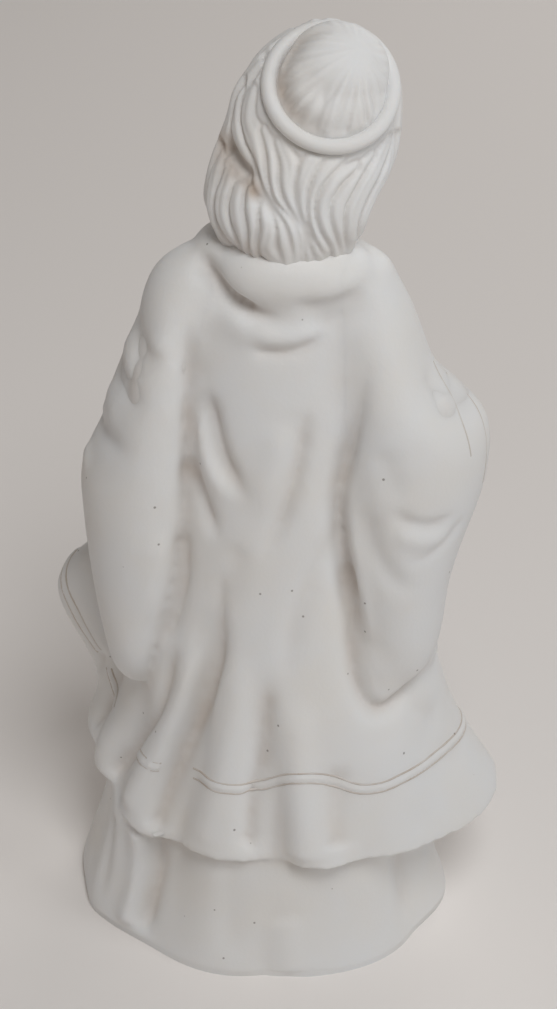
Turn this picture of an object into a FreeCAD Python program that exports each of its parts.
import FreeCAD, Part

import math
import os
from collections import namedtuple

from FreeCAD import Vector

# Standing devotional figure of a robed woman with a ring halo, in slip-cast bisque porcelain.
# Every casting is its own solid. The cast pieces meet face to face, where slip joins them.
# Millimetres, +Z up. The origin is on the standing face under the figure. She faces -Y,
# her right side is -X, and outline angles run from the middle of her back towards her right.

# Driving sizes
HEIGHT = 180.0  # standing face to the crown of the hair
WALL = 3.0  # cast wall of the robe and tunic
SLEEVE_WALL = 2.0
FLOOR = 3.0  # thickness of the closing plate under the tunic
VENT_RADIUS = 4.0  # firing vent through the closing plate
VENT_CENTRE = (0.0, -13.0)
HEM_HEIGHT = 27.0  # where the robe's hem plane meets the tunic
SPIGOT_HEIGHT = 5.0  # how far the tunic reaches up inside the robe
SPIGOT_STEP = 3.6  # how far the spigot stands in from the tunic's outside
SPIGOT_SLACK = 0.1
FOOT_WALL = 3.6  # the tunic's wall at the standing face
TUNIC_WALL = 5.6  # and at its top, where the spigot stands in

# Halo ring
HALO_CENTRE = Vector(-1.6, 3.4, 171.6)
HALO_RADIUS = 10.2  # centre line
HALO_TUBE = 1.3
HALO_RISE = 44.0  # elevation of the ring's axis, behind the head
HALO_TURN = 6.0  # how far that axis turns towards her right
FURROW = 0.8  # how much wider than the ring its furrow in the hair is

# Head and neck
SKULL_CENTRE = Vector(-0.8, -3.4, 166.6)
SKULL_RADII = (8.2, 8.2, 9.4)
JAW_CENTRE = Vector(-0.4, -5.4, 161.0)
JAW_RADII = (6.8, 6.2, 8.8)
NECK_FOOT = Vector(3.6, 1.4, 137.0)
NECK_TOP = Vector(0.4, -0.6, 160.0)
NECK_RADIUS = 4.9
SOCKET_SLACK = 0.1

# Hands, held palm to palm in front of the chest
PALM_PLANE = 1.2  # x of the plane where the palms meet
WRIST = (-21.0, 112.0)  # y and z of both wrists
FINGERTIP = (-27.5, 133.5)

Station = namedtuple("Station", "z x y right left back front")
Fold = namedtuple("Fold", "foot_angle top_angle foot top width depth")

# Outlines at rising heights: centre, then the reach to each side.
TUNIC = (
    Station(0.0, 0.0, 0.0, 37.0, 37.0, 32.0, 31.0),
    Station(4.0, 0.0, 0.0, 35.2, 36.2, 31.0, 30.0),
    Station(11.0, 0.0, 0.0, 32.8, 34.4, 29.4, 28.4),
    Station(19.0, 0.0, 0.0, 31.2, 32.6, 28.2, 27.2),
    Station(HEM_HEIGHT, 0.0, 0.0, 30.2, 31.2, 27.2, 26.2),
)
ROBE = (
    Station(HEM_HEIGHT, -4.0, -1.5, 41.0, 38.5, 31.5, 28.0),
    Station(32.0, -3.8, -1.3, 38.0, 36.8, 30.0, 26.6),
    Station(38.0, -3.2, -1.0, 34.8, 34.6, 28.4, 24.8),
    Station(46.0, -2.0, -0.6, 31.8, 31.6, 26.2, 22.6),
    Station(56.0, -0.4, -0.2, 29.8, 28.8, 24.0, 20.6),
    Station(70.0, 1.4, 0.0, 27.2, 26.0, 21.6, 18.4),
    Station(88.0, 2.8, 0.0, 25.0, 24.0, 19.4, 16.6),
    Station(106.0, 4.0, 0.0, 23.6, 22.8, 17.8, 15.4),
    Station(120.0, 4.6, 0.0, 21.6, 21.4, 16.2, 14.0),
    Station(131.0, 4.8, 0.3, 19.8, 20.0, 14.2, 11.6),
    Station(138.0, 4.2, 0.8, 17.4, 16.6, 11.8, 9.4),
    Station(143.0, 3.6, 1.2, 11.8, 12.2, 8.8, 8.0),
)
# Her right sleeve is lifted a little, and her left one hangs lower.
RIGHT_SLEEVE = (
    Station(56.0, -19.8, 13.0, 2.6, 2.6, 2.6, 5.0),
    Station(60.0, -20.4, 10.5, 5.4, 5.2, 6.0, 8.0),
    Station(67.0, -20.4, 8.0, 8.6, 9.0, 10.0, 13.0),
    Station(78.0, -19.4, 6.5, 10.4, 12.0, 12.6, 17.0),
    Station(88.0, -18.6, 5.5, 12.8, 13.4, 13.9, 20.0),
    Station(98.0, -18.0, 4.6, 15.8, 13.8, 14.6, 21.5),
    Station(107.0, -17.6, 4.0, 16.8, 13.4, 14.8, 22.0),
    Station(114.0, -17.0, 3.4, 15.2, 12.6, 14.4, 20.0),
    Station(119.0, -15.2, 2.8, 10.8, 11.0, 13.8, 17.0),
    Station(126.0, -12.8, 2.2, 8.8, 9.0, 12.6, 14.0),
    Station(133.0, -10.6, 2.0, 8.0, 8.0, 10.8, 11.6),
    Station(139.0, -8.2, 2.0, 7.0, 7.0, 8.6, 8.0),
    Station(142.0, -6.4, 2.0, 3.4, 4.0, 4.0, 4.0),
)
LEFT_SLEEVE = (
    Station(54.0, 25.8, 9.0, 2.4, 2.6, 2.8, 5.0),
    Station(58.5, 26.4, 7.5, 4.8, 5.4, 6.6, 8.0),
    Station(67.0, 27.0, 6.0, 7.6, 7.0, 9.8, 12.5),
    Station(79.0, 26.6, 5.0, 9.6, 9.6, 12.0, 16.0),
    Station(90.0, 26.0, 4.2, 10.4, 11.6, 13.4, 18.5),
    Station(97.0, 25.6, 3.6, 10.6, 12.2, 13.8, 19.5),
    Station(105.0, 25.2, 3.0, 10.4, 10.2, 13.8, 20.5),
    Station(113.0, 24.4, 2.6, 9.8, 9.0, 13.4, 20.0),
    Station(121.0, 23.4, 2.2, 9.2, 8.0, 12.8, 15.5),
    Station(128.0, 22.2, 2.0, 9.0, 6.8, 11.6, 13.4),
    Station(135.0, 20.4, 2.0, 8.4, 6.8, 9.8, 11.8),
    Station(139.0, 17.6, 2.0, 7.0, 6.6, 8.0, 9.6),
    Station(142.5, 14.0, 2.0, 4.0, 4.0, 4.6, 4.6),
)
SLEEVE_BEND_Y = 3.0  # the sleeve turns inwards in front of this y
RIGHT_TURN_IN = 0.36  # millimetres inwards for each millimetre forwards
LEFT_TURN_IN = 0.46
MOUTH_TOP = (-14.5, 118.0)  # y and z of the slanting sleeve mouth's ends
MOUTH_FOOT = (3.0, 49.0)

# In front the robe is caught up to her left arm, so its hem climbs and the gown shows below.
FRONT_HEM = ((-50, 20), (-38, 25), (-24, 31), (-8, 38), (8, 47), (20, 57), (32, 68), (50, 80))
FRONT_HEM_Y = -6.0  # the hem climbs only in front of this y
GOWN_STEP = 2.2  # how far the gown stands in from the robe

# The robe's edge breaks into a cascade of folds at her left front.
CASCADE = (
    Station(27.0, 25.0, -7.0, 8.0, 10.2, 10.0, 9.0),
    Station(31.0, 25.0, -8.0, 9.0, 12.0, 10.6, 10.0),
    Station(38.0, 25.0, -9.4, 9.0, 10.4, 9.6, 10.0),
    Station(45.0, 26.0, -10.8, 9.0, 11.6, 9.0, 9.6),
    Station(52.0, 27.0, -12.0, 9.0, 15.0, 8.4, 9.0),
    Station(58.0, 28.0, -12.6, 9.0, 16.0, 7.6, 8.0),
    Station(64.0, 27.6, -12.6, 8.6, 14.2, 6.8, 7.2),
    Station(71.0, 25.6, -12.0, 7.4, 9.6, 6.0, 6.4),
    Station(79.0, 23.4, -11.4, 5.6, 6.0, 5.0, 5.2),
    Station(88.0, 21.4, -11.4, 3.0, 3.4, 3.4, 3.6),
)
HAIR = (
    Station(143.5, 2.6, 3.6, 9.6, 10.2, 8.6, 6.0),
    Station(147.0, 2.9, 3.0, 12.4, 14.2, 11.0, 9.0),
    Station(152.0, 2.2, 2.0, 13.4, 15.4, 11.8, 10.6),
    Station(158.0, 1.0, 0.6, 13.6, 15.4, 11.6, 11.0),
    Station(164.0, -0.2, -1.0, 13.0, 14.6, 11.4, 11.2),
    Station(170.0, -1.0, -1.8, 11.6, 13.2, 11.2, 11.2),
    Station(175.0, -1.1, -1.9, 9.2, 10.4, 9.4, 9.4),
    Station(178.4, -1.0, -2.0, 5.8, 6.4, 6.0, 6.2),
    Station(HEIGHT, -0.8, -2.0, 2.0, 2.0, 2.0, 2.0),
)
FACE_CENTRE = Vector(-0.2, -13.0, 160.4)
FACE_RADII = (8.0, 8.6, 11.0)

TUNIC_FOLDS = (
    Fold(-58, -64, 27, -20, 9, 2.8),
    Fold(-34, -38, 27, -6, 9, -3.2),
    Fold(-14, -16, 27, -20, 10, 1.4),
    Fold(4, 4, 0, 16, 7, -1.0),
    Fold(36, 36, 27, -20, 14, 1.0),
    Fold(60, 62, 27, -20, 9, -2.2),
    Fold(84, 82, 14, -20, 8, 1.2),
    Fold(116, 118, 27, -20, 10, -2.6),
    Fold(148, 146, 27, -20, 9, -2.6),
    Fold(164, 164, 27, -20, 8, 1.6),
    Fold(182, 182, 27, -20, 8, -2.8),
    Fold(200, 202, 27, -20, 8, 1.6),
    Fold(218, 222, 27, -20, 9, -2.8),
    Fold(248, 250, 27, -20, 10, -2.2),
)
ROBE_FOLDS = (
    Fold(-66, -62, 27, 78, 8, -2.4),
    Fold(-52, -46, 27, 92, 7, 1.4),
    Fold(-37, -24, 27, 92, 6, -2.6),
    Fold(-20, -14, 27, 80, 9, 1.4),
    Fold(-3, -8, 27, 72, 7, -2.0),
    Fold(8, 2, 27, 60, 6, 1.2),
    Fold(22, 18, 27, 60, 8, -1.2),
    Fold(46, 44, 27, 50, 16, -1.2),
    Fold(112, 104, 27, 70, 9, -2.0),
    Fold(138, 150, 27, 100, 8, -2.0),
    Fold(158, 166, 27, 104, 8, 1.4),
    Fold(178, 184, 27, 104, 8, -2.0),
    Fold(198, 200, 27, 100, 8, 1.2),
    Fold(216, 214, 27, 96, 8, -2.0),
)
LOFT_POINTS = 60  # points round a folded outline
PLAIN_POINTS = 24  # points round an outline with no folds
TUNIC_OPTIONS = {"folds": TUNIC_FOLDS, "points": LOFT_POINTS}
ROBE_OPTIONS = {"folds": ROBE_FOLDS, "points": LOFT_POINTS}


def fold_offset(folds, angle, height):
    """How far the folds push the outline out at one angle and height."""
    total = 0.0
    for fold in folds:
        share = (height - fold.foot) / (fold.top - fold.foot)
        share = min(max(share, 0.0), 1.0)
        middle = fold.foot_angle + share * (fold.top_angle - fold.foot_angle)
        away = (angle - middle + 180.0) % 360.0 - 180.0
        total += fold.depth * (1.0 - share) * math.exp(-((away / fold.width) ** 2))
    return total


def outline(station, folds=(), inset=0.0, turn_in=0.0, points=PLAIN_POINTS):
    """A closed smooth wire at the station's height, of four quarter ellipses and the folds on it."""
    around = []
    for index in range(points):
        angle = 360.0 * index / points
        sine = math.sin(math.radians(angle))
        cosine = math.cos(math.radians(angle))
        side = (station.right if sine > 0 else station.left) - inset
        depth = (station.back if cosine > 0 else station.front) - inset
        out = fold_offset(folds, angle, station.z)
        x = station.x - (side + out) * sine
        y = station.y + (depth + out) * cosine
        x += turn_in * max(0.0, SLEEVE_BEND_Y - y)
        around.append(Vector(x, y, station.z))
    curve = Part.BSplineCurve()
    curve.interpolate(Points=around, PeriodicFlag=True)
    return Part.Wire(curve.toShape())


def loft(stations, **options):
    return Part.makeLoft([outline(station, **options) for station in stations], True, False)


def ellipsoid(centre, radii):
    ball = Part.makeSphere(1.0)
    stretch = FreeCAD.Matrix()
    stretch.scale(Vector(*radii))
    ball = ball.transformGeometry(stretch)
    ball.translate(centre)
    return ball


def capsule(start, end, start_radius, end_radius):
    """A tapered rod with round ends."""
    along = end - start
    if start_radius == end_radius:
        rod = Part.makeCylinder(start_radius, along.Length, start, along)
    else:
        rod = Part.makeCone(start_radius, end_radius, along.Length, start, along)
    return rod.fuse([Part.makeSphere(start_radius, start), Part.makeSphere(end_radius, end)])


def largest(shape):
    return max(shape.Solids, key=lambda solid: solid.Volume)


def cropped(stations, low, high):
    """The stations between two heights, with one worked out at each end."""

    def between(height):
        for under, over in zip(stations, stations[1:]):
            if under.z <= height <= over.z:
                share = (height - under.z) / (over.z - under.z)
                return Station(*(a + share * (b - a) for a, b in zip(under, over)))
        raise ValueError("no station spans %s" % height)

    inner = [s for s in stations if low < s.z < high]
    return [between(low), *inner, between(high)]


def tunic():
    """The gown's skirt, a cast wall with a spigot that seats inside the robe."""
    outside = loft(TUNIC, **TUNIC_OPTIONS)
    inset = SPIGOT_STEP + SPIGOT_SLACK
    spigot = prism_on_tunic(HEM_HEIGHT - 1.0, HEM_HEIGHT + SPIGOT_HEIGHT, inset, inset)
    return outside.fuse(spigot).cut(tunic_cavity())


def prism_on_tunic(low, high, low_inset, high_inset):
    """A solid between two heights that follows the tunic's outline, set in from it."""
    ends = ((TUNIC[0] if low < 0 else TUNIC[-1], low, low_inset), (TUNIC[-1], high, high_inset))
    wires = [outline(end._replace(z=z), inset=inset, **TUNIC_OPTIONS) for end, z, inset in ends]
    return Part.makeLoft(wires, True, False)


def tunic_cavity():
    return prism_on_tunic(-1.0, HEM_HEIGHT + SPIGOT_HEIGHT + 1.0, FOOT_WALL, TUNIC_WALL)


def closing_plate():
    """The floor that closes the tunic, with the vent that lets the kiln gases out."""
    slab = Part.makeBox(90, 80, FLOOR, Vector(-45, -40, 0))
    vent = Part.makeCylinder(VENT_RADIUS, FLOOR + 2, Vector(*VENT_CENTRE, -1))
    return slab.common(tunic_cavity()).cut(vent)


def robe_outside(inset=0.0):
    return loft(ROBE, inset=inset, **ROBE_OPTIONS)


def robe_cavity():
    """The hollow inside the robe, its opening for the tunic's spigot and its neck socket."""
    hollow = cropped(ROBE, HEM_HEIGHT + WALL, ROBE[-1].z - 2 * WALL)
    mouth = prism_on_tunic(HEM_HEIGHT - 1.0, HEM_HEIGHT + SPIGOT_HEIGHT, SPIGOT_STEP, SPIGOT_STEP)
    radius = NECK_RADIUS + SOCKET_SLACK
    socket = capsule(NECK_FOOT, NECK_TOP, radius, radius)
    return loft(hollow, inset=WALL + GOWN_STEP, **ROBE_OPTIONS).fuse([mouth, socket])


def front_space():
    """The space in front, under the climbing hem, where the gown shows."""
    hem = Part.BSplineCurve()
    hem.interpolate([Vector(x, -60, z) for x, z in FRONT_HEM])
    first, last = hem.StartPoint, hem.EndPoint
    low_first, low_last = Vector(first.x, -60, 0), Vector(last.x, -60, 0)
    sides = Part.makePolygon([last, low_last, low_first, first]).Edges
    face = Part.Face(Part.Wire([hem.toShape(), *sides]))
    return face.extrude(Vector(0, 60 + FRONT_HEM_Y, 0))


def neck():
    return capsule(NECK_FOOT, NECK_TOP, NECK_RADIUS, NECK_RADIUS)


def mouth_space():
    """Everything in front of the slanting plane that the sleeves' mouths lie in."""
    top_y, top_z = MOUTH_TOP
    foot_y, foot_z = MOUTH_FOOT
    slope = (foot_y - top_y) / (foot_z - top_z)
    low_y = foot_y + slope * (30.0 - foot_z)
    high_y = foot_y + slope * (140.0 - foot_z)
    corners = [
        Vector(-60, low_y, 30),
        Vector(-60, high_y, 140),
        Vector(-60, -70, 140),
        Vector(-60, -70, 30),
    ]
    side = Part.Face(Part.makePolygon(corners + corners[:1]))
    return side.extrude(Vector(120, 0, 0))


def sleeve(stations, turn_in, robe_solid):
    """A bell sleeve, hollow and open at its slanting mouth, seated on the robe's side."""
    outside = loft(stations, turn_in=turn_in)
    hollow = loft(stations[1:-3], turn_in=turn_in, inset=SLEEVE_WALL)
    return largest(outside.cut(robe_solid).cut(hollow).cut(mouth_space()))


def cascade(blocks):
    """The ruffled edge of the robe that stands out at her left front."""
    return largest(loft(CASCADE).cut(blocks))


def hand(side):
    """One praying hand, side -1 for her right: a palm, four fingers and a thumb."""
    wrist_y, wrist_z = WRIST
    tip_y, tip_z = FINGERTIP
    palm_x = PALM_PLANE + side * 1.5
    palm = ellipsoid(Vector(palm_x, wrist_y - 2.6, wrist_z + 8.0), (2.2, 4.4, 7.4))
    pieces = [capsule(Vector(palm_x + side * 1.6, wrist_y + 2.4, wrist_z - 1.0),
                      Vector(palm_x, wrist_y - 1.4, wrist_z + 4.0), 2.5, 2.4)]
    for number, reach in enumerate((-2.6, -0.6, 0.0, -1.2)):
        shift = 1.9 * (number - 1.5)
        start = Vector(palm_x, wrist_y - 3.4 + shift, wrist_z + 11.0)
        end = Vector(palm_x - side * 0.4, tip_y + 2.0 + 0.9 * shift, tip_z + reach - 1.2)
        pieces.append(capsule(start, end, 1.25, 0.95))
    thumb_foot = Vector(palm_x, wrist_y + 0.4, wrist_z + 8.0)
    thumb_tip = Vector(palm_x - side * 0.3, wrist_y - 0.4, wrist_z + 16.5)
    pieces.append(capsule(thumb_foot, thumb_tip, 1.35, 1.0))
    whole = palm.fuse(pieces)
    corner = PALM_PLANE if side > 0 else PALM_PLANE - 40
    return whole.common(Part.makeBox(40, 60, 60, Vector(corner, -50, 95)))


def forearm(side, elbow, blocks):
    """The gown's close sleeve round the forearm, from inside the bell sleeve to the wrist."""
    wrist_y, wrist_z = WRIST
    wrist = Vector(PALM_PLANE + side * 4.0, wrist_y + 2.6, wrist_z - 2.0)
    arm = Part.makeCone(5.2, 3.6, (wrist - elbow).Length, elbow, wrist - elbow)
    return largest(arm.cut(blocks))


def halo_axis():
    rise, turn = math.radians(HALO_RISE), math.radians(HALO_TURN)
    return Vector(-math.sin(turn) * math.cos(rise), math.cos(turn) * math.cos(rise), math.sin(rise))


def head():
    """Face, skull and neck. The neck's round foot seats in the robe's socket."""
    nose = capsule(Vector(-0.5, -11.0, 164.8), Vector(-0.4, -12.0, 161.2), 0.7, 1.1)
    return ellipsoid(SKULL_CENTRE, SKULL_RADII).fuse([ellipsoid(JAW_CENTRE, JAW_RADII), nose, neck()])


def hair(blocks):
    """The long hair, open round the face, with a furrow that the halo ring beds in."""
    bottom = HALO_CENTRE + halo_axis() * (FURROW - 0.1)
    furrow = Part.makeTorus(HALO_RADIUS, HALO_TUBE + FURROW, bottom, halo_axis())
    return largest(loft(HAIR).cut([ellipsoid(FACE_CENTRE, FACE_RADII), furrow, *blocks]))


def neckband(blocks):
    """The rolled edge of the robe round the neck."""
    low = Station(140.4, 3.6, 0.9, 9.4, 9.6, 8.4, 8.2)
    rolled = (low, low._replace(z=143.4), low._replace(z=145.2, right=8.2, left=8.4))
    return largest(loft(rolled).cut(blocks))


def build():
    robe_solid = robe_outside()
    gown_solid = robe_outside(GOWN_STEP)
    cavity, front = robe_cavity(), front_space()
    robe_body = robe_solid.cut([cavity, front])
    right_sleeve = sleeve(RIGHT_SLEEVE, RIGHT_TURN_IN, robe_solid)
    left_sleeve = sleeve(LEFT_SLEEVE, -LEFT_TURN_IN, robe_solid)
    halo = Part.makeTorus(HALO_RADIUS, HALO_TUBE, HALO_CENTRE, halo_axis())
    head_solid = head()
    hair_solid = hair([head_solid, halo, robe_solid])
    right_hand, left_hand = hand(-1), hand(1)
    right_blocks = [robe_solid, right_sleeve, right_hand]
    left_blocks = [robe_solid, left_sleeve, left_hand]
    return {
        "lower_tunic": tunic(),
        "closing_plate": closing_plate(),
        "gown_front": gown_solid.common(front).cut(cavity),
        "robe_body": robe_body,
        "right_sleeve": right_sleeve,
        "left_sleeve": left_sleeve,
        "robe_cascade": cascade([robe_body, gown_solid, left_sleeve]),
        "neckband": neckband([robe_solid, head_solid, hair_solid]),
        "head": head_solid.cut(halo),
        "hair": hair_solid,
        "halo_ring": halo,
        "right_hand": right_hand,
        "left_hand": left_hand,
        "right_forearm": forearm(-1, Vector(-24, -3, 96), right_blocks),
        "left_forearm": forearm(1, Vector(27, -3, 97), left_blocks),
    }


os.makedirs("parts", exist_ok=True)
for name, shape in build().items():
    solids = shape.Solids
    box = shape.optimalBoundingBox(False, False)
    print("%-14s solids %d valid %s volume %8.1f  x %6.1f..%5.1f y %6.1f..%5.1f z %6.1f..%5.1f" % (
        name, len(solids), shape.isValid(), shape.Volume,
        box.XMin, box.XMax, box.YMin, box.YMax, box.ZMin, box.ZMax))
    shape.exportStep(os.path.join("parts", name + ".step"))
